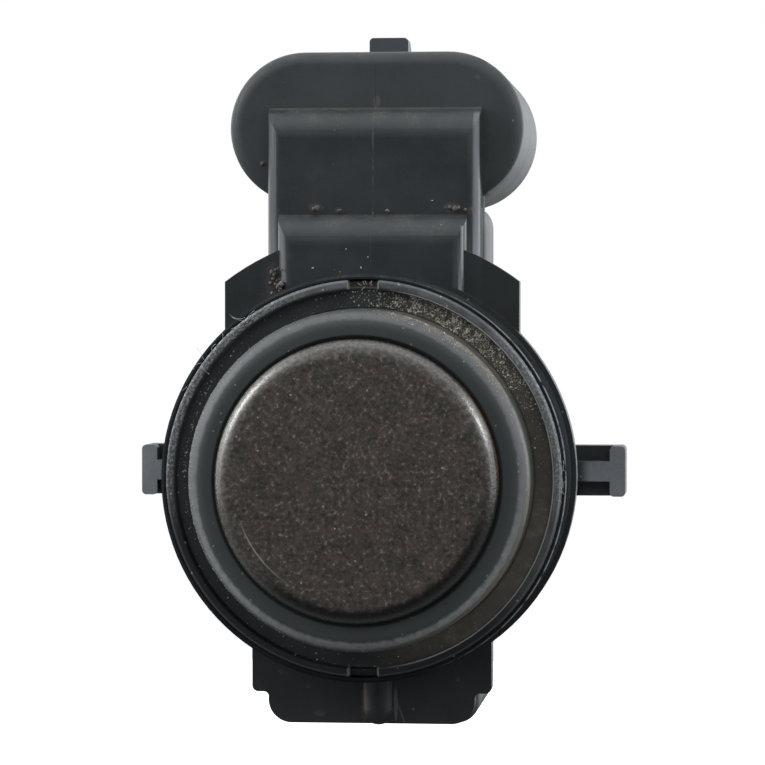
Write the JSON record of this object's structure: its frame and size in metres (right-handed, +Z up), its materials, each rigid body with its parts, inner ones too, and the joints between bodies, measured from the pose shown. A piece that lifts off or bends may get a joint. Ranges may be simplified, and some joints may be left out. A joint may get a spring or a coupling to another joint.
{
  "type": "parking sensor",
  "caption": "Ultrasonic bumper sensor: painted membrane in a rubber ring on a moulded barrel, oval cable socket above, a latching lug on each side and a potted back.",
  "frame": {"origin": "centre of the barrel's front rim, on the sensor's axis", "axes": "-Y the way the sensor looks, along the barrel's axis; +Z up, towards the cable socket; +X to the right as seen from in front"},
  "size_m": [0.0282, 0.0251, 0.0397],
  "materials": {
    "housing": "satin moulded, charcoal, handled and dusty",
    "ring": "flat black with a scuffed rim",
    "silicone": "soft dark grey silicone",
    "membrane": "brown metallic paint on aluminium",
    "piezo": "silvered ceramic",
    "felt": "pressed felt",
    "filling": "grey silicone",
    "lead_red": "insulated wire",
    "lead_black": "insulated wire",
    "board": "green solder mask",
    "chip": "moulded epoxy",
    "ferrite": "sintered ferrite",
    "copper": "enamelled copper wire",
    "capacitor": "ceramic",
    "resistor": "glazed ceramic",
    "contact": "tinned, bright",
    "potting": "cured potting, slightly glossy"
  },
  "bodies": {
    "root": {"housing": "housing", "retaining_ring": "ring", "decoupling_ring": "silicone", "transducer_pot": "membrane", "piezo_disc": "piezo", "damping_felt": "felt", "pot_filling": "filling", "signal_lead": "lead_red", "ground_lead": "lead_black", "circuit_board": "board", "transceiver_chip": "chip", "transformer_core": "ferrite", "transformer_coil": "copper", "supply_capacitor": "capacitor", "filter_capacitors": "capacitor", "chip_resistors": "resistor", "protection_diode": "chip", "supply_pin": "contact", "signal_pin": "contact", "ground_pin": "contact", "rear_potting": "potting"}
  },
  "joints": []
}
